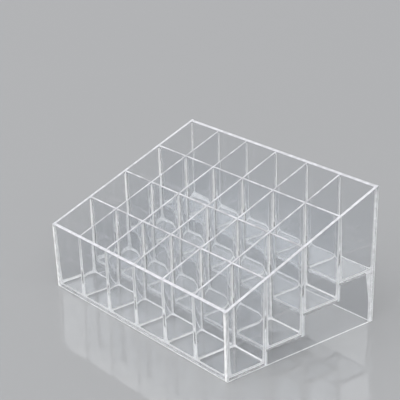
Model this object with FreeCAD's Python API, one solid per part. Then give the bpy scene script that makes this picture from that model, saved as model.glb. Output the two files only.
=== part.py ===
import FreeCAD, Part
import math
import os

# A stepped holder for lipsticks, built from clear plastic sheet.
#
# Two side walls, a front wall and a back wall make the case, and lean out a little towards
# the rim. Inside it, dividers that run from front to back are half-lapped into dividers
# that run across, so that they make a lattice of square cells. Each cross divider carries
# on below the floor behind it as the riser of a step, and a floor strip is cemented
# between each pair of risers. The rims of all the panels lie in one plane that climbs from
# the front to the back.
#
# Millimetres. X runs to the right along the width, Y to the back and Z up. The origin is
# on the table under the middle of the holder.

# Driving dimensions of the cells, as they open at the rim
COLUMNS = 6
CELL_WIDTH = 22.5
CELL_DEPTH = 22.5

# Thickness of the sheets, measured level
WALL_THICKNESS = 1.8
DIVIDER_THICKNESS = 1.2
FLOOR_THICKNESS = 2.0

# Heights: the rim at both ends, and the step from each floor up to the one behind it
FRONT_HEIGHT = 36.0
BACK_HEIGHT = 72.8
FIRST_RISE = 7.0
SECOND_RISE = 11.0
THIRD_RISE = 8.7

# How far the four outer walls lean out, in degrees
WALL_LEAN = 1.0

# Fits: the cement line of a butt joint, and the play on each side of a half-lap
BOND_GAP = 0.05
SLOT_PLAY = 0.1

# Radius of the polished edges that a hand can touch
EDGE_RADIUS = 0.3

# Sizes that follow. Width and depth are those of the rectangle that the rim's cells need
RISES = (FIRST_RISE, SECOND_RISE, THIRD_RISE)
ROWS = len(RISES) + 1
CELL_PITCH_X = CELL_WIDTH + DIVIDER_THICKNESS
CELL_PITCH_Y = CELL_DEPTH + DIVIDER_THICKNESS
WIDTH = COLUMNS * CELL_PITCH_X - DIVIDER_THICKNESS + 2 * WALL_THICKNESS
DEPTH = ROWS * CELL_PITCH_Y - DIVIDER_THICKNESS + 2 * WALL_THICKNESS
FRONT_Y = -DEPTH / 2
BACK_Y = DEPTH / 2
RIM_SLOPE = (BACK_HEIGHT - FRONT_HEIGHT) / DEPTH

# Blanks are cut this far past the case before they are trimmed to it
MARGIN = 5.0
BLANK_HEIGHT = BACK_HEIGHT + MARGIN


def rim_height(y):
    """Height of the sloping rim at the depth y."""
    return FRONT_HEIGHT + RIM_SLOPE * (y - FRONT_Y)


def floor_height(row):
    """Height of the upper face of a row's floor. Row 0 is at the front."""
    return FLOOR_THICKNESS + sum(RISES[:row])


def riser_span(row):
    """The front and back faces of the cross divider behind a row."""
    back = FRONT_Y + WALL_THICKNESS + (row + 1) * CELL_PITCH_Y
    return back - DIVIDER_THICKNESS, back


def lap_height(row):
    """Where the two halves of a crossing meet: halfway from the higher floor to the rim."""
    middle = sum(riser_span(row)) / 2
    return (floor_height(row + 1) + rim_height(middle)) / 2


def depth_divider_middle(number):
    """The middle of a front-to-back divider across the width. Number 0 is at the left."""
    return (number - (COLUMNS - 2) / 2) * CELL_PITCH_X


def lean_out(height, datum):
    """How far out a leaning wall stands at a height, from where it stands at the datum."""
    return (height - datum) * math.tan(math.radians(WALL_LEAN))


def side_face(height, inset):
    """Half the width of the case at a height, measured this far inside its outer faces."""
    return WIDTH / 2 - inset + lean_out(height, FRONT_HEIGHT)


def front_face(height, inset):
    """Where the front of the case is at a height, measured this far inside it."""
    return FRONT_Y + inset - lean_out(height, FRONT_HEIGHT)


def back_face(height, inset):
    """Where the back of the case is at a height, measured this far inside it."""
    return BACK_Y - inset + lean_out(height, BACK_HEIGHT)


def prism(corners, run):
    """The solid that a flat outline sweeps along a vector."""
    return Part.Face(Part.makePolygon(corners + corners[:1])).extrude(run)


def along_width(profile, x_low, x_high):
    """A solid with a (y, z) profile between two places across the width."""
    corners = [FreeCAD.Vector(x_low, y, z) for y, z in profile]
    return prism(corners, FreeCAD.Vector(x_high - x_low, 0, 0))


def whole_width(profile):
    """A solid with a (y, z) profile that is wider than the case."""
    return along_width(profile, -WIDTH, WIDTH)


def whole_depth(profile):
    """A solid with an (x, z) profile that is deeper than the case."""
    corners = [FreeCAD.Vector(x, -DEPTH, z) for x, z in profile]
    return prism(corners, FreeCAD.Vector(0, 2 * DEPTH, 0))


def leaning_profile(low_face, high_face):
    """The outline between two leaning faces, each given as its place at a height."""
    return [
        (low_face(0), 0),
        (high_face(0), 0),
        (high_face(BLANK_HEIGHT), BLANK_HEIGHT),
        (low_face(BLANK_HEIGHT), BLANK_HEIGHT),
    ]


def case_volume(side_inset, end_inset):
    """All that lies under the rim and this far inside the case's sides and its ends."""
    between_sides = whole_depth(
        leaning_profile(lambda z: -side_face(z, side_inset), lambda z: side_face(z, side_inset))
    )
    between_ends = whole_width(
        leaning_profile(lambda z: front_face(z, end_inset), lambda z: back_face(z, end_inset))
    )
    under_rim = whole_width(
        [(-DEPTH, 0), (DEPTH, 0), (DEPTH, rim_height(DEPTH)), (-DEPTH, rim_height(-DEPTH))]
    )
    return between_sides.common(between_ends).common(under_rim)


def cavity():
    """The room inside the four outer walls, less a cement line at each of them."""
    return case_volume(WALL_THICKNESS + BOND_GAP, WALL_THICKNESS + BOND_GAP)


def on_rim(edge):
    """Whether both ends of an edge lie in the plane of the rim."""
    return all(abs(v.Z - rim_height(v.Y)) < 1e-4 for v in edge.Vertexes)


def runs_across(edge):
    """Whether an edge runs along the width."""
    start, end = edge.Vertexes[0].Point, edge.Vertexes[-1].Point
    return abs(end.x - start.x) > 0.9 * edge.Length


def rim_edge_across(edge):
    """Whether an edge is one of the rim's edges on a panel that runs across."""
    return on_rim(edge) and runs_across(edge)


def rim_edge_along(edge):
    """Whether an edge is one of the rim's edges on a panel that runs from front to back."""
    return on_rim(edge) and not runs_across(edge)


def touched_side_edge(edge):
    """Whether a hand can touch this edge of a side wall: its rim, and its outer face's ends."""
    outside = all(abs(abs(v.X) - side_face(v.Z, 0)) < 1e-4 for v in edge.Vertexes)
    on_table = all(v.Z < 1e-4 for v in edge.Vertexes)
    return (outside and not on_table) or rim_edge_along(edge)


def polish(solid, chosen):
    """Round the chosen edges, as flame polishing does."""
    return solid.makeFillet(EDGE_RADIUS, [edge for edge in solid.Edges if chosen(edge)])


def side_wall(direction):
    """An outer side panel over the whole depth. Direction is -1 at the left and 1 at the right."""
    blank = whole_depth(
        leaning_profile(
            lambda z: direction * side_face(z, WALL_THICKNESS),
            lambda z: direction * side_face(z, 0),
        )
    )
    return polish(blank.common(case_volume(0, 0)), touched_side_edge)


def end_wall(face):
    """The front or back panel, between the side walls and down to the table."""
    blank = whole_width(leaning_profile(lambda z: face(z, WALL_THICKNESS), lambda z: face(z, 0)))
    panel = blank.common(case_volume(WALL_THICKNESS + BOND_GAP, 0))
    return polish(panel, rim_edge_across)


def lap_slot(row, number):
    """The slot in a cross divider that takes a front-to-back divider from above."""
    front, back = riser_span(row)
    middle = depth_divider_middle(number)
    half_slot = DIVIDER_THICKNESS / 2 + SLOT_PLAY
    profile = [
        (front - MARGIN, lap_height(row)),
        (back + MARGIN, lap_height(row)),
        (back + MARGIN, BLANK_HEIGHT),
        (front - MARGIN, BLANK_HEIGHT),
    ]
    return along_width(profile, middle - half_slot, middle + half_slot)


def riser_divider(row):
    """A cross divider that is also the riser of the step behind its row."""
    front, back = riser_span(row)
    foot = floor_height(row) - FLOOR_THICKNESS
    blank = whole_width([(front, foot), (back, foot), (back, BLANK_HEIGHT), (front, BLANK_HEIGHT)])
    slots = [lap_slot(row, number) for number in range(COLUMNS - 1)]
    return polish(blank.common(cavity()).cut(slots), rim_edge_across)


def floor_strip(row):
    """The floor of one row, between the panels in front of it and behind it."""
    front = FRONT_Y if row == 0 else riser_span(row - 1)[1] + BOND_GAP
    back = BACK_Y if row == ROWS - 1 else riser_span(row)[0] - BOND_GAP
    top = floor_height(row)
    bottom = top - FLOOR_THICKNESS
    blank = whole_width([(front, bottom), (back, bottom), (back, top), (front, top)])
    return blank.common(cavity())


def depth_divider_profile():
    """The stepped foot, the slots over the cross dividers and a top above the rim."""
    profile = [(FRONT_Y - MARGIN, floor_height(0) + BOND_GAP)]
    for row in range(ROWS - 1):
        front, back = riser_span(row)
        slot_top = lap_height(row) + SLOT_PLAY
        profile += [
            (front - SLOT_PLAY, floor_height(row) + BOND_GAP),
            (front - SLOT_PLAY, slot_top),
            (back + SLOT_PLAY, slot_top),
            (back + SLOT_PLAY, floor_height(row + 1) + BOND_GAP),
        ]
    return profile + [
        (BACK_Y + MARGIN, floor_height(ROWS - 1) + BOND_GAP),
        (BACK_Y + MARGIN, BLANK_HEIGHT),
        (FRONT_Y - MARGIN, BLANK_HEIGHT),
    ]


def depth_divider(number):
    """A front-to-back divider, cut to stand on every floor."""
    middle = depth_divider_middle(number)
    half = DIVIDER_THICKNESS / 2
    blank = along_width(depth_divider_profile(), middle - half, middle + half)
    return polish(blank.common(cavity()), rim_edge_along)


def holder():
    """Every panel of the holder, by name."""
    panels = {
        "left_wall": side_wall(-1),
        "right_wall": side_wall(1),
        "front_wall": end_wall(front_face),
        "back_wall": end_wall(back_face),
    }
    for row in range(ROWS):
        panels[f"floor_strip_{row + 1}"] = floor_strip(row)
    for row in range(ROWS - 1):
        panels[f"riser_divider_{row + 1}"] = riser_divider(row)
    for number in range(COLUMNS - 1):
        panels[f"depth_divider_{number + 1}"] = depth_divider(number)
    return panels


os.makedirs("parts", exist_ok=True)
for name, panel in holder().items():
    panel.exportStep(f"parts/{name}.step")
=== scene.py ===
import logging
import math
from collections.abc import Iterable, Iterator, Mapping
from dataclasses import dataclass, field
from enum import Enum

import bmesh
import bpy
from mathutils import Matrix, Vector


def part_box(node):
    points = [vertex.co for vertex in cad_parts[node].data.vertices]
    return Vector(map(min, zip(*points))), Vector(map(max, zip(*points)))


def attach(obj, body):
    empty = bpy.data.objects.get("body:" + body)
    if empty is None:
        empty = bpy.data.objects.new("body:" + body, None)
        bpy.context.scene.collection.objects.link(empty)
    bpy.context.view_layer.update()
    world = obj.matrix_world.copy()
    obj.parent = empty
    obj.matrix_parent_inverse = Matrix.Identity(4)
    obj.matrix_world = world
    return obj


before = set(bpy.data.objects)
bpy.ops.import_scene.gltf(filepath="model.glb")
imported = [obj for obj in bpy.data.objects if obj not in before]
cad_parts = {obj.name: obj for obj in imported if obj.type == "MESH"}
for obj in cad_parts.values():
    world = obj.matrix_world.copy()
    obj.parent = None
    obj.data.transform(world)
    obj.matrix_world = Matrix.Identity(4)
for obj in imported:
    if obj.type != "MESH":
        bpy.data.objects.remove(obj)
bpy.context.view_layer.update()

MM = 0.001
BODY = "root"
UP = Vector((0.0, 0.0, 1.0))
log = logging.getLogger("lipstick_holder")


class Wire:
    """An output socket of a node tree, on which Python's operators add Math nodes."""

    def __init__(self, graph: "Graph", socket: bpy.types.NodeSocket) -> None:
        """Keep the socket and the graph that it belongs to."""
        self.graph = graph
        self.socket = socket

    @property
    def is_vector(self) -> bool:
        """Whether this socket carries a vector or a colour."""
        return self.socket.type in {"VECTOR", "RGBA"}

    def _math(self, operation: str, *values: object) -> "Wire":
        """Add a Math node, or a Vector Math node where a value is a vector.

        Args:
            operation: the node's operation.
            values: its inputs, in order.

        Returns:
            The node's first output.
        """
        vector = any(isinstance(v, tuple) or (isinstance(v, Wire) and v.is_vector) for v in values)
        kind = "ShaderNodeVectorMath" if vector else "ShaderNodeMath"
        return self.graph.add(kind, {"operation": operation}, dict(enumerate(values)))

    def __add__(self, other: object) -> "Wire":
        """Sum."""
        return self._math("ADD", self, other)

    def __radd__(self, other: object) -> "Wire":
        """Sum with a plain value on the left."""
        return self._math("ADD", other, self)

    def __sub__(self, other: object) -> "Wire":
        """Difference."""
        return self._math("SUBTRACT", self, other)

    def __rsub__(self, other: object) -> "Wire":
        """Difference from a plain value."""
        return self._math("SUBTRACT", other, self)

    def __mul__(self, other: object) -> "Wire":
        """Product.

        Args:
            other: a number, a vector or a socket.

        Returns:
            The product, where a vector by a number is scaled.
        """
        number = not isinstance(other, tuple) and not (isinstance(other, Wire) and other.is_vector)
        if self.is_vector and number:
            inputs = {"Vector": self, "Scale": other}
            return self.graph.add("ShaderNodeVectorMath", {"operation": "SCALE"}, inputs)
        return self._math("MULTIPLY", self, other)

    def __rmul__(self, other: object) -> "Wire":
        """Product with a plain value on the left."""
        return self * other

    def __truediv__(self, other: object) -> "Wire":
        """Quotient."""
        return self._math("DIVIDE", self, other)

    def __neg__(self) -> "Wire":
        """The value with its sign turned."""
        return self * -1.0

    def __abs__(self) -> "Wire":
        """Size without sign."""
        return self._math("ABSOLUTE", self)

    def dot(self, other: object) -> "Wire":
        """Dot product with another vector."""
        node = self._math("DOT_PRODUCT", self, other).socket.node
        return Wire(self.graph, node.outputs["Value"])

    def largest(self, other: object) -> "Wire":
        """The larger of two values."""
        return self._math("MAXIMUM", self, other)

    def over(self, limit: object) -> "Wire":
        """1 where the value is over the limit, otherwise 0."""
        return self._math("GREATER_THAN", self, limit)

    def root(self) -> "Wire":
        """Square root."""
        return self._math("SQRT", self)

    def off_multiple(self, step: float) -> "Wire":
        """Distance from the nearest multiple of a step."""
        return self._math("PINGPONG", self, step / 2)

    def power_of_e(self) -> "Wire":
        """The number e to this power."""
        return self._math("EXPONENT", self)

    def cosine(self) -> "Wire":
        """Cosine of an angle in radians."""
        return self._math("COSINE", self)

    def sine(self) -> "Wire":
        """Sine of an angle in radians."""
        return self._math("SINE", self)

    def rise(self, low: object, high: object, start: object = 0.0, end: object = 1.0) -> "Wire":
        """A smooth rise from start to end as the value goes from low to high.

        Args:
            low: the value at the start of the rise.
            high: the value at its end.
            start: what comes out at and below low.
            end: what comes out at and above high.

        Returns:
            The risen value.
        """
        settings = {"interpolation_type": "SMOOTHSTEP"}
        inputs = {0: self, 1: low, 2: high, 3: start, 4: end}
        return self.graph.add("ShaderNodeMapRange", settings, inputs)


class Graph:
    """A node tree that is filled by one method."""

    def __init__(self, tree: bpy.types.NodeTree) -> None:
        """Keep the tree."""
        self.tree = tree

    def node(self, kind: str, settings: Mapping, inputs: Mapping) -> bpy.types.Node:
        """Add a node.

        Args:
            kind: the node's type.
            settings: attributes of the node, which are set first.
            inputs: socket names or numbers, each with a value or a Wire.

        Returns:
            The new node.
        """
        new = self.tree.nodes.new(kind)
        for name, value in settings.items():
            setattr(new, name, value)
        for key, value in inputs.items():
            socket = new.inputs[key]
            if isinstance(value, Wire):
                self.tree.links.new(value.socket, socket)
            else:
                socket.default_value = value
        return new

    def add(self, kind: str, settings: Mapping, inputs: Mapping, output: str | int = 0) -> Wire:
        """Add a node, and give the output with this name or number."""
        return Wire(self, self.node(kind, settings, inputs).outputs[output])

    def noise(self, spot: Wire, scale: object, detail: float = 2.0) -> Wire:
        """Smooth noise between 0 and 1, with scale in cycles for each unit of the spot."""
        inputs = {"Vector": spot, "Scale": scale, "Detail": detail}
        return self.add("ShaderNodeTexNoise", {}, inputs)


class SurfaceGraph(Graph):
    """The node tree of a new material."""

    LAMP_LIGHT_LEFT = (0.985, 0.985, 0.985, 1.0)

    def __init__(self, name: str) -> None:
        """Make an empty material.

        Args:
            name: the material's name.
        """
        self.material = bpy.data.materials.new(name)
        self.material.use_nodes = True
        super().__init__(self.material.node_tree)
        self.tree.nodes.clear()

    def place(self) -> Wire:
        """The point on the object, in metres."""
        return self.add("ShaderNodeTexCoord", {}, {}, output="Object")

    def cells(self, spot: Wire, scale: float) -> Wire:
        """Distance from the nearest of scattered points, in units of their spacing."""
        return self.add("ShaderNodeTexVoronoi", {}, {"Vector": spot, "Scale": scale}, output="Distance")

    def blend_colour(self, share: object, low: object, high: object) -> Wire:
        """A colour between two, by a share from 0 to 1."""
        inputs = {0: share, 6: low, 7: high}
        return self.add("ShaderNodeMix", {"data_type": "RGBA"}, inputs, output=2)

    def blend_shader(self, share: object, low: Wire, high: Wire) -> Wire:
        """A mix of two shaders, by a share from 0 to 1."""
        return self.add("ShaderNodeMixShader", {}, {0: share, 1: low, 2: high})

    def bump(self, height: Wire, strength: float, distance: float) -> Wire:
        """A normal that follows a height."""
        inputs = {"Strength": strength, "Distance": distance, "Height": height}
        return self.add("ShaderNodeBump", {}, inputs)

    def clear(self, tint: tuple, roughness: object, refraction: float, normal: Wire) -> Wire:
        """Clear plastic that lets the light of lamps pass.

        Args:
            tint: the colour that light takes on at each face.
            roughness: how much it blurs.
            refraction: its index of refraction.
            normal: the surface's waves.

        Returns:
            The shader.
        """
        plastic = self.add(
            "ShaderNodeBsdfPrincipled",
            {},
            {
                "Base Color": tint,
                "Roughness": roughness,
                "IOR": refraction,
                "Transmission Weight": 1.0,
                "Normal": normal,
            },
        )
        lamp_ray = self.add("ShaderNodeLightPath", {}, {}, output="Is Shadow Ray")
        passing = self.add("ShaderNodeBsdfTransparent", {}, {"Color": self.LAMP_LIGHT_LEFT})
        return self.blend_shader(lamp_ray, plastic, passing)

    def opaque(self, colour: object, roughness: float, refraction: float, **more: Wire) -> Wire:
        """Plastic that light doesn't pass, with more inputs by their names."""
        inputs = {"Base Color": colour, "Roughness": roughness, "IOR": refraction, **more}
        return self.add("ShaderNodeBsdfPrincipled", {}, inputs)

    def finish(self, surface: Wire) -> bpy.types.Material:
        """Connect the surface and give the material."""
        self.node("ShaderNodeOutputMaterial", {}, {"Surface": surface})
        return self.material


class GrowthGraph(Graph):
    """A geometry node tree with named inputs, which turns lines into a finished mesh."""

    KEPT_ATTRIBUTES = ("material_index", "sharp_face", "sharp_edge")
    SMOOTH_BELOW = math.radians(40)

    def __init__(self, name: str) -> None:
        """Make an empty tree with one geometry input and one output.

        Args:
            name: the tree's name.
        """
        super().__init__(bpy.data.node_groups.new(name, "GeometryNodeTree"))
        self.tree.interface.new_socket("Geometry", in_out="INPUT", socket_type="NodeSocketGeometry")
        self.tree.interface.new_socket("Geometry", in_out="OUTPUT", socket_type="NodeSocketGeometry")
        self.entry = self.tree.nodes.new("NodeGroupInput")
        self.values = {}

    def lines(self) -> Wire:
        """The lines that the tree starts from, as curves."""
        return self.add("GeometryNodeMeshToCurve", {}, {0: Wire(self, self.entry.outputs[0])})

    def setting(self, name: str, kind: str, value: object) -> Wire:
        """Add a named input.

        Args:
            name: what the modifier shows.
            kind: Float, Int or Material.
            value: what the input is given.

        Returns:
            The input as a Wire.
        """
        socket = self.tree.interface.new_socket(name, in_out="INPUT", socket_type=f"NodeSocket{kind}")
        self.values[socket.identifier] = value
        return Wire(self, self.entry.outputs[name])

    def attribute(self, name: str, kind: str = "FLOAT") -> Wire:
        """A named attribute of the lines."""
        return self.add("GeometryNodeInputNamedAttribute", {"data_type": kind}, {"Name": name})

    def fading(self, label: str, reach: object) -> Wire:
        """The number e to the power of minus an attribute's distance, counted in reaches."""
        return (-(self.attribute(label) / reach)).power_of_e()

    def random(self, low: object, high: object, seed: object) -> Wire:
        """A random number for each point."""
        inputs = {2: low, 3: high, 8: seed}
        return self.add("FunctionNodeRandomValue", {"data_type": "FLOAT"}, inputs, output=1)

    def finish(self, result: Wire, material: Wire) -> None:
        """Realize the instances, set the material and connect the output.

        Args:
            result: the geometry.
            material: the tree's input that holds the material.
        """
        real = self.add("GeometryNodeRealizeInstances", {}, {0: result})
        dressed = self.add("GeometryNodeSetMaterial", {}, {0: real, "Material": material})
        self.node("NodeGroupOutput", {}, {0: dressed})

    def grow(self, name: str, lines: bpy.types.Mesh) -> bpy.types.Object:
        """Run the tree on lines and keep the result as a plain, closed mesh.

        Args:
            name: the new piece's name.
            lines: the mesh that the tree starts from.

        Returns:
            The piece, at the origin.
        """
        carrier = bpy.data.objects.new(name + "_lines", lines)
        bpy.context.scene.collection.objects.link(carrier)
        modifier = carrier.modifiers.new("growth", "NODES")
        modifier.node_group = self.tree
        for identifier, value in self.values.items():
            modifier[identifier] = value
        seen = carrier.evaluated_get(bpy.context.evaluated_depsgraph_get())
        mesh = bpy.data.meshes.new_from_object(seen)
        bpy.data.objects.remove(carrier)
        for label in [a.name for a in mesh.attributes if not a.is_internal and not a.is_required]:
            if label not in self.KEPT_ATTRIBUTES:
                mesh.attributes.remove(mesh.attributes[label])
        shape = bmesh.new()
        shape.from_mesh(mesh)
        bmesh.ops.recalc_face_normals(shape, faces=shape.faces)
        shape.to_mesh(mesh)
        shape.free()
        mesh.shade_smooth()
        mesh.set_sharp_from_angle(angle=self.SMOOTH_BELOW)
        mesh.name = name
        piece = bpy.data.objects.new(name, mesh)
        bpy.context.scene.collection.objects.link(piece)
        return piece


@dataclass(frozen=True)
class FacePlane:
    """The plane of a flat face: its unit normal, and its place along it."""

    normal: Vector
    offset: float

    def moved(self, distance: float) -> "FacePlane":
        """The plane moved along its normal."""
        return FacePlane(self.normal, self.offset + distance)


def meeting_point(first: FacePlane, second: FacePlane, third: FacePlane) -> Vector:
    """The point where three faces meet."""
    rows = Matrix((first.normal, second.normal, third.normal))
    return rows.inverted() @ Vector((first.offset, second.offset, third.offset))


@dataclass(frozen=True)
class SheetPlane:
    """A flat sheet: its unit normal, its middle's place along it, and half its thickness."""

    normal: Vector
    middle: float
    half: float

    @classmethod
    def of_node(cls, name: str) -> "SheetPlane":
        """Read the plane of a packed sheet from its broadest triangle.

        Args:
            name: the CAD node.

        Returns:
            The plane, in metres.
        """
        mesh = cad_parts[name].data
        broad = max(mesh.polygons, key=lambda face: face.area).normal.copy()
        reach = [vertex.co.dot(broad) for vertex in mesh.vertices]
        low, high = min(reach), max(reach)
        return cls(broad, (low + high) / 2, (high - low) / 2)

    def face(self, seen_from: Vector) -> FacePlane:
        """The broad face that looks towards a point."""
        side = math.copysign(1.0, self.normal.dot(seen_from) - self.middle)
        return FacePlane(side * self.normal, side * self.middle + self.half)


@dataclass(frozen=True)
class Rim:
    """The sloping plane in which all the panels end."""

    height: float
    slope: float

    @classmethod
    def of_frame(cls) -> "Rim":
        """Read the rim from the highest corners of a side wall.

        Returns:
            The rim, with its height over the middle of the holder.
        """
        corners = [vertex.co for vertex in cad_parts["left_wall"].data.vertices]
        depth = max(c.y for c in corners)
        back = max(c.z for c in corners)
        front = max(c.z for c in corners if c.y < -depth + MM)
        slope = (back - front) / (2 * depth)
        return cls(back - slope * depth, slope)

    def below(self, drop: float) -> FacePlane:
        """The plane that lies this far under the rim."""
        upward = Vector((0.0, -self.slope, 1.0))
        return FacePlane(upward.normalized(), (self.height - drop) / upward.length)

    def depth_of(self, place: Wire) -> Wire:
        """How far a point lies below the rim, in millimetres."""
        return (self.height - place.dot((0.0, -self.slope, 1.0))) / MM


@dataclass(frozen=True)
class Joint:
    """A straight cement line in the corner between two faces.

    The legs are the bead's width on each face at the start and at the end, and the flares
    widen it where it runs into a corner.
    """

    start: Vector
    end: Vector
    faces: tuple[FacePlane, FacePlane]
    legs: tuple[float, float]
    flares: tuple[float, float]
    bubbles: float


@dataclass(frozen=True)
class Lattice:
    """The cells and steps of the holder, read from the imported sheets."""

    rim: Rim
    rows: int = 4
    columns: int = 6

    def across(self, row: int) -> SheetPlane:
        """The sheet that runs across behind a row. Row 0 gives the front wall."""
        ends = {0: "front_wall", self.rows: "back_wall"}
        return SheetPlane.of_node(ends.get(row, f"riser_divider_{row}"))

    def along(self, column: int) -> SheetPlane:
        """The sheet at the right of a column. Column 0 gives the left wall."""
        ends = {0: "left_wall", self.columns: "right_wall"}
        return SheetPlane.of_node(ends.get(column, f"depth_divider_{column}"))

    def pitch(self) -> float:
        """The spacing of the dividers, which is the same both ways."""
        first, second = self.along(1), self.along(2)
        return (second.normal * second.middle - first.normal * first.middle).length

    def floor(self, row: int) -> FacePlane:
        """The upper face of a row's floor."""
        return FacePlane(UP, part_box(f"floor_strip_{row}")[1].z)

    def underside(self, row: int) -> FacePlane:
        """The lower face of a row's floor."""
        return FacePlane(-UP, -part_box(f"floor_strip_{row}")[0].z)


@dataclass(frozen=True)
class BeadSizes:
    """Sizes of the cement beads, in metres.

    A line is a pair of legs: the one at the left wall and the one at the right wall. The
    bubble shares say how many places along a bead have a bubble.
    """

    gap: float = 0.03 * MM
    side_upright: float = 1.25 * MM
    front_upright: float = 0.75 * MM
    back_upright: float = 0.35 * MM
    upright_taper: float = 0.6
    crossing_share: float = 0.6
    left_wall_line: float = 1.1 * MM
    raised_left_line: float = 1.6 * MM
    front_row_line: tuple[float, float] = (0.4 * MM, 0.6 * MM)
    divider_line: tuple[float, float] = (1.0 * MM, 0.6 * MM)
    step_line: tuple[float, float] = (1.5 * MM, 0.7 * MM)
    riser_foot_line: tuple[float, float] = (1.1 * MM, 0.6 * MM)
    back_wall_line: tuple[float, float] = (2.0 * MM, 0.2 * MM)
    side_flare: float = 1.3 * MM
    corner_flare: float = 0.7 * MM
    riser_end: float = 0.5 * MM
    pillar_top: float = 3.6 * MM
    pillar_foot: float = 0.9 * MM
    pillar_waist: float = 11.0 * MM
    stop_below_rim: float = 1.2 * MM
    outer_bubbles: float = 0.5
    crossing_bubbles: float = 0.3
    floor_bubbles: float = 0.1


@dataclass
class JointPlan:
    """All the corners that are cemented."""

    lattice: Lattice
    sizes: BeadSizes = field(default_factory=BeadSizes)
    inside_cell: float = 8.0 * MM

    def _joint(self, pair: tuple, ends: tuple, legs: tuple, flares: tuple, bubbles: float) -> Joint:
        """A joint in the corner of two faces, between two other planes.

        Args:
            pair: the two faces, each turned towards the bead.
            ends: the two planes that the joint runs between.
            legs: the bead's legs at both ends.
            flares: how much wider it is in the corner at each end.
            bubbles: the share of places that have a bubble.

        Returns:
            The joint, moved off both faces by the gap.
        """
        near = tuple(face.moved(self.sizes.gap) for face in pair)
        start, end = (meeting_point(*near, plane) for plane in ends)
        return Joint(start, end, pair, legs, flares, bubbles)

    def uprights(self, outer: bool) -> Iterator[Joint]:
        """The upright corners of the cells, from the floor to the rim.

        Args:
            outer: whether the corners at the outer walls are wanted, or those at crossings.

        Yields:
            The joints.
        """
        sizes, lattice = self.sizes, self.lattice
        bubbles = sizes.outer_bubbles if outer else sizes.crossing_bubbles
        top = lattice.rim.below(sizes.stop_below_rim)
        for row in range(1, lattice.rows + 1):
            floor = lattice.floor(row).moved(sizes.gap)
            for column in range(1, lattice.columns + 1):
                middle = self._middle(row, column)
                for side in (column - 1, column):
                    for end in (row - 1, row):
                        at_side = side in {0, lattice.columns}
                        if outer != (at_side or end in {0, lattice.rows}):
                            continue
                        foot, flare = self._upright_foot(at_side, end)
                        pair = (lattice.along(side).face(middle), lattice.across(end).face(middle))
                        legs = (foot, foot * (1.0 - sizes.upright_taper))
                        yield self._joint(pair, (floor, top), legs, (flare, 0.0), bubbles)

    def _upright_foot(self, at_side: bool, end: int) -> tuple[float, float]:
        """The leg and the flare of an upright bead at its foot.

        Args:
            at_side: whether it stands at a side wall.
            end: the number of the sheet across.

        Returns:
            The leg and the flare.
        """
        sizes = self.sizes
        if end == self.lattice.rows:
            return sizes.back_upright, sizes.corner_flare
        if at_side:
            return sizes.side_upright, sizes.side_flare
        if end == 0:
            return sizes.front_upright, sizes.corner_flare
        return sizes.side_upright * sizes.crossing_share, sizes.side_flare * sizes.crossing_share

    def floor_lines(self) -> Iterator[Joint]:
        """The four lines around each cell's floor.

        Yields:
            The joints.
        """
        sizes, lattice = self.sizes, self.lattice
        flares = (sizes.side_flare, sizes.side_flare)
        for row in range(1, lattice.rows + 1):
            floor = lattice.floor(row)
            front, between, back = self._floor_legs(row)
            for column in range(1, lattice.columns + 1):
                middle = self._middle(row, column)
                sides = [lattice.along(n).face(middle).moved(sizes.gap) for n in (column - 1, column)]
                ends = [lattice.across(n).face(middle).moved(sizes.gap) for n in (row - 1, row)]
                left, right = (self._leg_at(between, n) for n in (column - 1, column))
                if column == 1:
                    left = sizes.left_wall_line if row == 1 else sizes.raised_left_line
                for wall, leg in zip(sides, (left, right)):
                    pair = (floor, wall.moved(-sizes.gap))
                    yield self._joint(pair, tuple(ends), (leg, leg), flares, sizes.floor_bubbles)
                for wall, line in zip(ends, (front, back)):
                    pair = (floor, wall.moved(-sizes.gap))
                    legs = (self._leg_at(line, column - 1), self._leg_at(line, column))
                    yield self._joint(pair, tuple(sides), legs, flares, sizes.floor_bubbles)

    def _floor_legs(self, row: int) -> tuple[tuple, tuple, tuple]:
        """The lines of a floor.

        Args:
            row: the floor's row.

        Returns:
            The pairs of legs of the front line, the lines at the dividers and the back line.
        """
        sizes = self.sizes
        if row == 1:
            return (sizes.front_row_line,) * 3
        back = sizes.back_wall_line if row == self.lattice.rows else sizes.riser_foot_line
        return sizes.step_line, sizes.divider_line, back

    def _leg_at(self, line: tuple[float, float], sheet: int) -> float:
        """The leg of a line where it meets a sheet along. It grows fast towards the left wall."""
        left, right = line
        return right + (left - right) * (1.0 - sheet / self.lattice.columns) ** 2

    def under_steps(self) -> Iterator[Joint]:
        """The upright corners below the raised floors, and the pillars at the back wall.

        Yields:
            The joints. A pillar is two, which meet at its waist.
        """
        sizes, lattice = self.sizes, self.lattice
        no_flares = (0.0, 0.0)
        for row in range(2, lattice.rows + 1):
            under = lattice.underside(row)
            top = under.moved(sizes.gap)
            foot = FacePlane(UP, -lattice.underside(row - 1).offset + sizes.gap)
            spot = Vector((0.0, self._middle(row, 1).y, -under.offset / 2))
            for side in (lattice.along(n).face(spot) for n in (0, lattice.columns)):
                corner = (side, lattice.across(row - 1).face(spot))
                legs = (sizes.riser_end, sizes.riser_end)
                yield self._joint(corner, (foot, top), legs, no_flares, sizes.outer_bubbles)
                if row == lattice.rows:
                    corner = (side, lattice.across(row).face(spot))
                    ground, waist = FacePlane(UP, sizes.gap), FacePlane(UP, sizes.pillar_waist)
                    legs = (sizes.pillar_foot, sizes.pillar_foot)
                    yield self._joint(corner, (ground, waist), legs, no_flares, 0.0)
                    legs = (sizes.pillar_foot, sizes.pillar_top)
                    yield self._joint(corner, (waist, top), legs, no_flares, 0.0)

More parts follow.
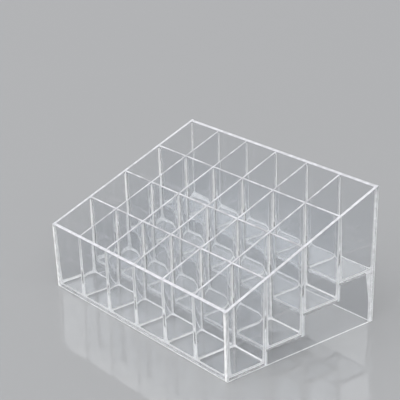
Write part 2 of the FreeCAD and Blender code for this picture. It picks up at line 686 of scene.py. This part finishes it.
    def _middle(self, row: int, column: int) -> Vector:
        """A point inside a cell, well over its floor.

        Args:
            row: the cell's row, 1 at the front.
            column: its column, 1 at the left.

        Returns:
            The point.
        """
        level = FacePlane(UP, self.lattice.floor(row).offset + self.inside_cell)
        left, right = self.lattice.along(column - 1), self.lattice.along(column)
        front, back = self.lattice.across(row - 1), self.lattice.across(row)
        corners = [
            meeting_point(FacePlane(a.normal, a.middle), FacePlane(b.normal, b.middle), level)
            for a, b in ((left, front), (right, back))
        ]
        return (corners[0] + corners[1]) / 2


def joint_lines(name: str, joints: Iterable[Joint]) -> bpy.types.Mesh:
    """Turn joints into a mesh of loose edges whose points carry the bead's sizes.

    Args:
        name: the mesh's name.
        joints: the joints to draw.

    Returns:
        The mesh, which a geometry node tree reads.
    """
    joints = list(joints)
    points = [tuple(end) for joint in joints for end in (joint.start, joint.end)]
    edges = [(2 * n, 2 * n + 1) for n in range(len(joints))]
    mesh = bpy.data.meshes.new(name)
    mesh.from_pydata(points, edges, [])
    labels = ("leg", "from_start", "to_end", "start_flare", "end_flare", "bubbles")
    numbers = {label: [] for label in labels}
    bisectors = []
    for joint in joints:
        length = (joint.end - joint.start).length
        numbers["leg"] += joint.legs
        numbers["from_start"] += (0.0, length)
        numbers["to_end"] += (length, 0.0)
        numbers["start_flare"] += (joint.flares[0],) * 2
        numbers["end_flare"] += (joint.flares[1],) * 2
        numbers["bubbles"] += (joint.bubbles,) * 2
        inward = (joint.faces[0].normal + joint.faces[1].normal).normalized()
        bisectors += [*inward, *inward]
    for label, values in numbers.items():
        mesh.attributes.new(label, "FLOAT", "POINT").data.foreach_set("value", values)
    mesh.attributes.new("bisector", "FLOAT_VECTOR", "POINT").data.foreach_set("vector", bisectors)
    return mesh


class CutEnds(Enum):
    """What a sheet's cut edges look like below the rim."""

    POLISHED = "bright and even, where a hand can touch them"
    CEMENTED = "mottled by the cement that holds them"
    CLEAR_CORE = "bright along the upper arris, clear below it"


@dataclass(frozen=True)
class Cloud:
    """Smooth noise: its cycles for each millimetre, its detail, and how it rises."""

    scale: float
    detail: float
    rise: tuple

    def on(self, graph: SurfaceGraph, spot: Wire) -> Wire:
        """The risen noise at a point that is given in millimetres."""
        return graph.noise(spot, self.scale, self.detail).rise(*self.rise)


@dataclass(frozen=True)
class Speckle:
    """Scattered small dots: how many for each millimetre, and their radius in spacings."""

    scale: float
    size: float

    def on(self, graph: SurfaceGraph, spot: Wire) -> Wire:
        """1 on the dots and 0 between them, at a point that is given in millimetres."""
        return (self.size - graph.cells(spot, self.scale)).over(0.0)


@dataclass(frozen=True)
class ClearSheet:
    """Clear plastic sheet: clean faces, milky cut edges and mottled cement lines.

    A rise is a smooth step, as its low and high ends and then the values at them. Scales are
    cycles for each millimetre. Waves and depths below the rim are in millimetres, places
    along and back in spacings of the dividers, and other lengths in metres.
    """

    ends: CutEnds
    haze: float
    tint: tuple = (0.915, 0.925, 0.937, 1.0)
    rim_milk: tuple = (0.68, 0.68, 0.715, 1.0)
    milk: tuple = (0.97, 0.972, 0.975, 1.0)
    thin_milk: tuple = (0.76, 0.78, 0.80, 1.0)
    refraction: float = 1.49
    veil_roughness: float = 0.5
    veil_refraction: float = 1.3
    edge_roughness: float = 0.3
    edge_margin: tuple = (0.15 * MM, 0.02 * MM)
    pattern_steps: tuple = (1.0, 0.7, 0.3)
    wave: float = 0.16
    wave_scale: float = 0.045
    swelling: float = 0.29
    swelling_reach: float = 5.0 * MM
    smudges: Cloud = Cloud(0.06, 4.0, (0.45, 0.75, 0.0, 0.04))
    haze_cloud: Cloud = Cloud(0.11, 4.0, (0.2, 0.8, 0.25, 0.85))
    haze_by_depth: tuple = (6.0, 46.0, 0.15, 1.0)
    haze_by_side: tuple = (25.0 * MM, 62.0 * MM, 1.0, 0.35)
    specks: Speckle = Speckle(0.2, 0.09)
    speck_strength: float = 0.22
    worn_edge: Cloud = Cloud(0.35, 3.0, (0.3, 0.7, 1.0, 0.75))
    chips: Speckle = Speckle(0.3, 0.12)
    arris: tuple = (0.5, 0.75, 0.06, 1.0)
    side_from: float = 2.9
    side_arris: float = 0.4
    pillar_arris: float = 1.6
    pillar_from: tuple = (1.76, 1.82)
    # Painted shade in the back row: the spacing it starts at, the depth under the rim that it spares,
    # and the share of the cut edges that it turns clear.
    back_shade_start: float = 1.7
    back_shade_below_rim: float = 1.5
    back_shade_strength: float = 0.7
    froth_scale: float = 0.9
    froth: tuple = (0.15, 0.5)
    edge_cloud: Cloud = Cloud(0.3, 3.0, (0.35, 0.65))
    cemented_mottling: float = 0.8
    plain_mottling: float = 0.1
    rim_depth: tuple = (0.5, 1.5)
    gap_stretch: tuple = (1.0, 1.0, 0.3)
    gap_scale: float = 0.15
    gap_wander: float = 8.0
    gap_end: tuple = (18.0, 24.0)
    gap_start: tuple = (2.0, 6.0)
    gap_strength: float = 0.5
    slit_start: tuple = (22.0, 25.0)
    slit_end: tuple = (29.0, 31.0)
    slit_strength: float = 0.85

    def make(self, name: str, plane: SheetPlane, lattice: Lattice, shift: float) -> bpy.types.Material:
        """Build the material of one sheet.

        Args:
            name: the material's name.
            plane: where the sheet lies, which tells its faces from its edges.
            lattice: the rim, whose edges are polished, and the spacing of the joints.
            shift: moves the patterns, so that no two sheets are alike.

        Returns:
            The material.
        """
        graph = SurfaceGraph(name)
        place = graph.place()
        spot = place * (1 / MM) + tuple(shift * step for step in self.pattern_steps)
        across = place.dot(tuple(plane.normal)) - plane.middle
        outer, inner = (plane.half - margin for margin in self.edge_margin)
        edge = 1.0 - abs(across).rise(outer, inner)
        below_rim = lattice.rim.depth_of(place)
        relief = graph.noise(spot, self.wave_scale, 1.0) * self.wave
        if self.ends is CutEnds.CEMENTED:
            relief = relief + self._swell(place, across, plane, lattice)
        faces = self._faces(graph, place, spot, below_rim, relief)
        cut = self._cut_edges(graph, spot, below_rim)
        backward = place.dot((0.0, 1.0, 0.0)) / lattice.pitch()
        # Painted shade: behind this spacing the cut edges are turned mostly clear, so that they read
        # dim as in shade; the floors keep it off their sides.
        painted_back_shade = backward.over(self.back_shade_start)
        if self.ends is CutEnds.CLEAR_CORE:
            height = across * math.copysign(1.0, plane.normal.z)
            at_side = abs(place.dot((1.0, 0.0, 0.0))).over(lattice.pitch() * self.side_from)
            deep = backward.rise(*self.pillar_from) * self.pillar_arris + self.side_arris
            arris = (height / plane.half + at_side * deep).rise(*self.arris)
            cut = graph.blend_shader(arris, faces, cut)
            painted_back_shade = painted_back_shade * (1.0 - at_side)
        if self.ends is CutEnds.POLISHED:
            worn = self.worn_edge.on(graph, spot)
            cut = graph.blend_shader(worn.largest(self.chips.on(graph, spot)), faces, cut)
        if self.ends is CutEnds.CEMENTED:
            cut = graph.blend_shader(self._dry_gap(graph, spot, below_rim), cut, faces)
        # The back row's painted shade, on all but the polished walls, below a band under the rim.
        if self.ends is not CutEnds.POLISHED:
            painted_back_shade = painted_back_shade * below_rim.over(self.back_shade_below_rim) * self.back_shade_strength
            cut = graph.blend_shader(painted_back_shade, cut, faces)
        return graph.finish(graph.blend_shader(edge, faces, cut))

    def _swell(self, place: Wire, across: Wire, plane: SheetPlane, lattice: Lattice) -> Wire:
        """The soft ramps where a divider's joints have drawn it up, which bend the lines behind.

        Args:
            place: the point on the object.
            across: the distance from the sheet's middle, along its normal.
            plane: where the sheet lies.
            lattice: the spacing of the joints.

        Returns:
            The height in millimetres.
        """
        along = UP.cross(plane.normal).normalized()
        from_joint = place.dot(tuple(along)).off_multiple(lattice.pitch()) - lattice.along(1).half
        ramp = (1.0 - from_joint / self.swelling_reach).largest(0.0)
        outward = math.copysign(self.swelling, plane.normal.dot((1.0, -1.0, 0.0)))
        return ramp * ramp * ramp * (across.over(0.0) * 2.0 - 1.0) * outward

    def _faces(
        self, graph: SurfaceGraph, place: Wire, spot: Wire, below_rim: Wire, relief: Wire
    ) -> Wire:
        """The broad faces: clear, with smudges, a relief, cement haze low down and specks.

        Args:
            graph: the material's tree.
            place: the point on the object.
            spot: the point that the patterns are read at, in millimetres.
            below_rim: the depth below the rim, in millimetres.
            relief: the height of the surface's waves, in millimetres.

        Returns:
            The shader.
        """
        blur = self.smudges.on(graph, spot)
        clear = graph.clear(self.tint, blur, self.refraction, graph.bump(relief, 1.0, 1.0 * MM))
        veil = graph.opaque(self.milk, self.veil_roughness, self.veil_refraction)
        cloud = self.haze_cloud.on(graph, spot)
        by_side = abs(place.dot((1.0, 0.0, 0.0))).rise(*self.haze_by_side)
        haze = cloud * below_rim.rise(*self.haze_by_depth) * by_side * self.haze
        speck = self.specks.on(graph, spot) * self.speck_strength
        return graph.blend_shader(haze.largest(speck), clear, veil)

    def _cut_edges(self, graph: SurfaceGraph, spot: Wire, below_rim: Wire) -> Wire:
        """The cut edges: milky at the rim, and mottled by bubbles where they are cemented.

        Args:
            graph: the material's tree.
            spot: the point that the patterns are read at, in millimetres.
            below_rim: the depth below the rim, in millimetres.

        Returns:
            The shader.
        """
        froth = graph.cells(spot, self.froth_scale).rise(*self.froth)
        cloud = self.edge_cloud.on(graph, spot)
        cemented = self.ends is CutEnds.CEMENTED
        mottling = self.cemented_mottling if cemented else self.plain_mottling
        bonded = graph.blend_colour(froth * cloud * mottling, self.milk, self.thin_milk)
        colour = graph.blend_colour(below_rim.rise(*self.rim_depth), self.rim_milk, bonded)
        return graph.opaque(colour, self.edge_roughness, self.refraction)

    def _dry_gap(self, graph: SurfaceGraph, spot: Wire, below_rim: Wire) -> Wire:
        """Where a cemented edge stayed dry: partly near the rim, and a slit above the cement's pool.

        Args:
            graph: the material's tree.
            spot: the point that the patterns are read at, in millimetres.
            below_rim: the depth below the rim, in millimetres.

        Returns:
            The share that is dry.
        """
        level = below_rim + graph.noise(spot * self.gap_stretch, self.gap_scale, 1.0) * self.gap_wander
        above = (1.0 - level.rise(*self.gap_end)) * self.gap_strength * level.rise(*self.gap_start)
        slit = level.rise(*self.slit_start) * (1.0 - level.rise(*self.slit_end))
        return above.largest(slit * self.slit_strength)


@dataclass(frozen=True)
class Cement:
    """Hardened solvent cement, partly clear and partly milky.

    Scales are cycles for each millimetre, and the pool is so many millimetres below the rim.
    """

    name: str
    least_milk: float
    most_milk: float
    tint: tuple = (0.97, 0.975, 0.98, 1.0)
    milk: tuple = (0.97, 0.972, 0.975, 1.0)
    clear_roughness: float = 0.02
    milky_roughness: float = 0.25
    refraction: float = 1.49
    ripple_scale: float = 0.8
    ripple: float = 0.1
    ripple_height: float = 0.2 * MM
    cloud_scale: float = 0.2
    pool_wander: float = 10.0
    pool: tuple = (22.0, 32.0)
    froth_scale: float = 0.9
    froth: tuple = (0.2, 0.5)
    froth_cloud: tuple = (0.4, 0.6)
    froth_strength: float = 0.6

    def make(self, rim: Rim) -> bpy.types.Material:
        """Build the material, which is milkiest low down, where the cement pooled.

        Args:
            rim: the rim, from which the depth is measured.

        Returns:
            The material.
        """
        graph = SurfaceGraph(self.name)
        place = graph.place()
        spot = place * (1 / MM)
        below_rim = rim.depth_of(place)
        waves = graph.noise(spot, self.ripple_scale)
        ripple = graph.bump(waves, self.ripple, self.ripple_height)
        clear = graph.clear(self.tint, self.clear_roughness, self.refraction, ripple)
        milky = graph.opaque(self.milk, self.milky_roughness, self.refraction, Normal=ripple)
        cloud = graph.noise(spot, self.cloud_scale)
        pooled = (below_rim + (cloud - 0.5) * self.pool_wander).rise(*self.pool)
        dots = graph.cells(spot, self.froth_scale).rise(*self.froth)
        froth = 1.0 - dots * cloud.rise(*self.froth_cloud) * self.froth_strength
        share = pooled * froth * (self.most_milk - self.least_milk) + self.least_milk
        return graph.finish(graph.blend_shader(share, clear, milky))


@dataclass(frozen=True)
class AirBubble:
    """The bright skin of a small bubble in cement, with a pattern in cycles a millimetre."""

    shade: tuple = (0.86, 0.87, 0.88, 1.0)
    light: tuple = (0.97, 0.97, 0.97, 1.0)
    pattern_scale: float = 2.0
    roughness: float = 0.12
    refraction: float = 1.5

    def make(self) -> bpy.types.Material:
        """Build the material.

        Returns:
            The material.
        """
        graph = SurfaceGraph("joint_bubble")
        pattern = graph.noise(graph.place() * (1 / MM), self.pattern_scale)
        colour = graph.blend_colour(pattern, self.shade, self.light)
        return graph.finish(graph.opaque(colour, self.roughness, self.refraction))


@dataclass(frozen=True)
class Tabletop:
    """A plain pale floor with a soft sheen."""

    colour: tuple = (0.345, 0.349, 0.355, 1.0)
    roughness: float = 0.05
    refraction: float = 1.9

    def make(self) -> bpy.types.Material:
        """Build the floor's material."""
        graph = SurfaceGraph("pale_floor")
        return graph.finish(graph.opaque(self.colour, self.roughness, self.refraction))


@dataclass
class Panels:
    """The sheets of the holder, as the CAD has them."""

    polished: ClearSheet = ClearSheet(CutEnds.POLISHED, haze=0.04)
    cemented: ClearSheet = ClearSheet(CutEnds.CEMENTED, haze=0.1)
    floors: ClearSheet = ClearSheet(CutEnds.CLEAR_CORE, haze=0.2)
    pattern_shift: float = 37.0

    def _finish(self, name: str) -> ClearSheet:
        """The finish of a sheet, by where its cut edges are.

        Args:
            name: the CAD node.

        Returns:
            The finish.
        """
        if name.startswith("floor_strip"):
            return self.floors
        return self.polished if name.endswith("wall") else self.cemented

    def dress(self, lattice: Lattice) -> None:
        """Give every sheet its own clear material.

        Args:
            lattice: the cells and the rim.
        """
        for number, (name, node) in enumerate(sorted(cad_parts.items())):
            plane = SheetPlane.of_node(name)
            shift = self.pattern_shift * number
            material = self._finish(name).make(f"{name}_sheet", plane, lattice, shift)
            node.data.materials.clear()
            node.data.materials.append(material)
            log.info("dressed %s, %.2f mm thick", name, plane.half * 2 / MM)


class BeadSet(Enum):
    """The groups of cement beads, each of which is one piece."""

    OUTER = "outer_joint_beads"
    CROSSING = "crossing_beads"
    FLOOR = "floor_beads"
    UNDER_STEPS = "under_step_beads"


@dataclass
class CementWork:
    """The cement beads in the corners of the sheets, and the bubbles in them.

    The clearer cement is the one at the crossings. Scales are cycles for each metre.
    """

    milky: Cement = Cement("milky_cement", 0.75, 1.0)
    clear: Cement = Cement("clear_cement", 0.45, 0.9)
    bubble: AirBubble = AirBubble()
    segment: float = 0.5 * MM
    ripple: float = 0.04
    ripple_scale: float = 250.0
    flare_reach: float = 0.9 * MM
    arc_steps: int = 8
    bubble_spacing: float = 0.45 * MM
    bubble_sizes: tuple[float, float] = (0.07 * MM, 0.2 * MM)
    bubble_depths: tuple[float, float] = (0.25, 0.6)
    bubble_seed: int = 7
    ball_sides: int = 8
    ball_rings: int = 5
    cluster_scale: float = 150.0
    cluster: tuple = (0.4, 0.65)
    foot_reach: float = 9.0 * MM
    chance_at_foot: float = 0.9
    chance_above: float = 0.1

    def build(self, plan: JointPlan) -> None:
        """Grow the beads and the bubbles.

        Args:
            plan: the joints.
        """
        groups = {
            BeadSet.OUTER: list(plan.uprights(outer=True)),
            BeadSet.CROSSING: list(plan.uprights(outer=False)),
            BeadSet.FLOOR: list(plan.floor_lines()),
            BeadSet.UNDER_STEPS: list(plan.under_steps()),
        }
        for group, joints in groups.items():
            cement = self.clear if group is BeadSet.CROSSING else self.milky
            tree = self._bead_tree(cement.make(plan.lattice.rim))
            piece = tree.grow(group.value, joint_lines(group.value, joints))
            self._hand_over(piece)
        everything = [joint for joints in groups.values() for joint in joints if joint.bubbles]
        piece = self._bubble_tree().grow("joint_bubbles", joint_lines("joint_bubbles", everything))
        self._hand_over(piece)

    def _hand_over(self, piece: bpy.types.Object) -> None:
        """Let a finished piece ride on the holder, and report it.

        Args:
            piece: the piece.
        """
        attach(piece, BODY)
        log.info("%s: %d faces", piece.name, len(piece.data.polygons))

    def _bead_tree(self, cement: bpy.types.Material) -> GrowthGraph:
        """A tree that sweeps a hollow-faced fillet along each joint.

        Args:
            cement: the beads' material.

        Returns:
            The tree.
        """
        graph = GrowthGraph("cement_bead")
        segment = graph.setting("Segment", "Float", self.segment)
        ripple = graph.setting("Ripple", "Float", self.ripple)
        scale = graph.setting("Ripple Scale", "Float", self.ripple_scale)
        reach = graph.setting("Flare Reach", "Float", self.flare_reach)
        material = graph.setting("Material", "Material", cement)
        inputs = {0: graph.lines(), "Length": segment}
        fine = graph.add("GeometryNodeResampleCurve", {"mode": "LENGTH"}, inputs)
        turned = graph.add(
            "GeometryNodeSetCurveNormal",
            {"mode": "FREE"},
            {0: fine, "Normal": graph.attribute("bisector", "FLOAT_VECTOR")},
        )
        place = graph.add("GeometryNodeInputPosition", {}, {})
        noise = graph.noise(place, scale)
        leg = graph.attribute("leg") * (1.0 + ripple * (noise * 2.0 - 1.0))
        near_start = graph.fading("from_start", reach)
        near_end = graph.fading("to_end", reach)
        flare = graph.attribute("start_flare") * near_start + graph.attribute("end_flare") * near_end
        swept = graph.add(
            "GeometryNodeCurveToMesh",
            {},
            {0: turned, 1: self._fillet_profile(graph), "Scale": leg + flare, "Fill Caps": True},
        )
        graph.finish(swept, material)
        return graph

    def _fillet_profile(self, graph: GrowthGraph) -> Wire:
        """A corner with legs of length 1 and a hollow quarter circle between their ends.

        Args:
            graph: the tree that the profile is for.

        Returns:
            The closed curve.
        """
        steps = self.arc_steps
        ring = graph.add("GeometryNodeCurvePrimitiveCircle", {}, {"Resolution": steps + 2})
        index = graph.add("GeometryNodeInputIndex", {}, {})
        angle = (index - 1.0) * (math.pi / 2 / steps) - math.pi / 4
        cosine = angle.cosine()
        radius = cosine * math.sqrt(2) - (cosine * cosine * 2.0 - 1.0).largest(0.0).root()
        reach = radius * index.over(0.5)
        spot = graph.add("ShaderNodeCombineXYZ", {}, {0: reach * cosine, 1: reach * angle.sine()})
        return graph.add("GeometryNodeSetPosition", {}, {0: ring, "Position": spot})

    def _bubble_tree(self) -> GrowthGraph:
        """A tree that scatters small bubbles along the beads, in clusters.

        Returns:
            The tree.
        """
        graph = GrowthGraph("cement_bubble")
        spacing = graph.setting("Spacing", "Float", self.bubble_spacing)
        smallest = graph.setting("Smallest", "Float", self.bubble_sizes[0])
        largest = graph.setting("Largest", "Float", self.bubble_sizes[1])
        seed = graph.setting("Seed", "Int", self.bubble_seed)
        material = graph.setting("Material", "Material", self.bubble.make())
        inputs = {0: graph.lines(), "Length": spacing}
        points = graph.add("GeometryNodeCurveToPoints", {"mode": "LENGTH"}, inputs)
        place = graph.add("GeometryNodeInputPosition", {}, {})
        cluster = graph.noise(place, self.cluster_scale, 1.0).rise(*self.cluster)
        chance = graph.attribute("bubbles") * cluster
        near_foot = graph.fading("from_start", self.foot_reach)
        low_down = near_foot * self.chance_at_foot + self.chance_above
        chosen = (chance * low_down - graph.random(0.0, 1.0, seed)).over(0.0)
        size = graph.random(smallest, largest, seed + 1.0)
        depth = graph.attribute("leg") * graph.random(*self.bubble_depths, seed + 2.0) + largest
        inward = graph.attribute("bisector", "FLOAT_VECTOR") * depth
        spread = graph.add("GeometryNodeSetPosition", {}, {0: points, "Offset": inward})
        inputs = {"Segments": self.ball_sides, "Rings": self.ball_rings, "Radius": 1.0}
        ball = graph.add("GeometryNodeMeshUVSphere", {}, inputs)
        bubbles = graph.add(
            "GeometryNodeInstanceOnPoints",
            {},
            {0: spread, "Selection": chosen, "Instance": ball, "Scale": size},
        )
        graph.finish(bubbles, material)
        return graph


@dataclass
class Camera:
    """The photograph's viewpoint, in degrees and metres, with the lens in millimetres."""

    azimuth: float = 51.94
    elevation: float = 21.30
    roll: float = -1.791
    distance: float = 736.3 * MM
    target: tuple = (-57.8 * MM, 40.7 * MM, 30.0 * MM)
    lens: float = 117.13
    sensor: float = 36.0

    def build(self) -> None:
        """Add the camera."""
        turn, lift = math.radians(self.azimuth), math.radians(self.elevation)
        level = math.cos(lift)
        back = Vector((math.sin(turn) * level, -math.cos(turn) * level, math.sin(lift)))
        right = Vector((math.cos(turn), math.sin(turn), 0.0))
        upright = Matrix((right, back.cross(right), back)).transposed()
        tilt = Matrix.Rotation(math.radians(self.roll), 3, "Z")
        data = bpy.data.cameras.new("photo_camera")
        data.lens = self.lens
        data.sensor_width = self.sensor
        camera = bpy.data.objects.new("photo_camera", data)
        spot = Vector(self.target) + self.distance * back
        camera.matrix_world = Matrix.Translation(spot) @ (upright @ tilt).to_4x4()
        bpy.context.scene.collection.objects.link(camera)
        bpy.context.scene.camera = camera


@dataclass(frozen=True)
class SoftLamp:
    """A square soft lamp: its name, place and side in metres, and its power in watts."""

    name: str
    place: tuple[float, float, float]
    side: float
    power: float

    def build(self, target: tuple[float, float, float]) -> None:
        """Add the lamp, which leaves no image of itself on the floor.

        Args:
            target: the point that it looks at.
        """
        data = bpy.data.lights.new(self.name, "AREA")
        data.size = self.side
        data.energy = self.power
        lamp = bpy.data.objects.new(self.name, data)
        lamp.visible_glossy = False
        turn = (Vector(target) - Vector(self.place)).to_track_quat("-Z", "Y").to_matrix()
        lamp.matrix_world = Matrix.Translation(self.place) @ turn.to_4x4()
        bpy.context.scene.collection.objects.link(lamp)


@dataclass
class Studio:
    """Floor, lamps and surroundings.

    The sky's light is a rise by the height of the direction: the two heights, and then the
    strength at and below the lower one and at and above the higher one.
    """

    floor: Tabletop = field(default_factory=Tabletop)
    floor_reach: float = 12.0
    floor_sides: int = 96
    floor_drop: float = 0.05 * MM
    lamps: tuple[SoftLamp, ...] = (
        SoftLamp("key_lamp", (1.5, -0.6, 1.3), 3.0, 37.0),
        SoftLamp("fill_lamp", (-0.5, -1.6, 1.2), 3.0, 37.0),
        SoftLamp("back_lamp", (-1.0, 1.3, 1.7), 2.5, 14.0),
    )
    lamp_target: tuple[float, float, float] = (0.0, 0.0, 0.03)
    sky_colour: tuple = (0.95, 0.96, 0.98, 1.0)
    sky_light: tuple = (0.35, 0.95, 0.6, 0.4)

    def build(self) -> None:
        """Add the floor, the lamps and the world."""
        self._floor()
        for lamp in self.lamps:
            lamp.build(self.lamp_target)
        self._world()

    def _floor(self) -> None:
        """A flat round floor."""
        sides, reach = self.floor_sides, self.floor_reach
        shape = bmesh.new()
        bmesh.ops.create_circle(shape, cap_ends=True, segments=sides, radius=reach)
        mesh = bpy.data.meshes.new("studio_floor")
        shape.to_mesh(mesh)
        shape.free()
        mesh.materials.append(self.floor.make())
        floor = bpy.data.objects.new("studio_floor", mesh)
        bpy.context.scene.collection.objects.link(floor)
        floor.location.z = -self.floor_drop

    def _world(self) -> None:
        """Soft surroundings, brightest near the horizon, so that upright edges are lit too."""
        world = bpy.data.worlds.new("studio")
        bpy.context.scene.world = world
        world.use_nodes = True
        world.node_tree.nodes.clear()
        graph = Graph(world.node_tree)
        direction = graph.add("ShaderNodeTexCoord", {}, {}, output="Generated")
        light = direction.dot(tuple(UP)).rise(*self.sky_light)
        sky = graph.add("ShaderNodeBackground", {}, {"Color": self.sky_colour, "Strength": light})
        graph.node("ShaderNodeOutputWorld", {}, {"Surface": sky})


def set_light_paths() -> None:
    """Let rays through all the sheets that lie behind each other."""
    cycles = bpy.context.scene.cycles
    cycles.max_bounces = 64
    cycles.transmission_bounces = 56
    cycles.glossy_bounces = 16
    cycles.diffuse_bounces = 4
    cycles.transparent_max_bounces = 96
    bpy.context.scene.view_settings.view_transform = "Standard"


def main() -> None:
    """Dress the holder and set the studio."""
    logging.basicConfig(level=logging.INFO, format="%(name)s: %(message)s")
    lattice = Lattice(Rim.of_frame())
    Camera().build()
    Panels().dress(lattice)
    CementWork().build(JointPlan(lattice))
    Studio().build()
    set_light_paths()


if __name__ == "__main__":
    main()
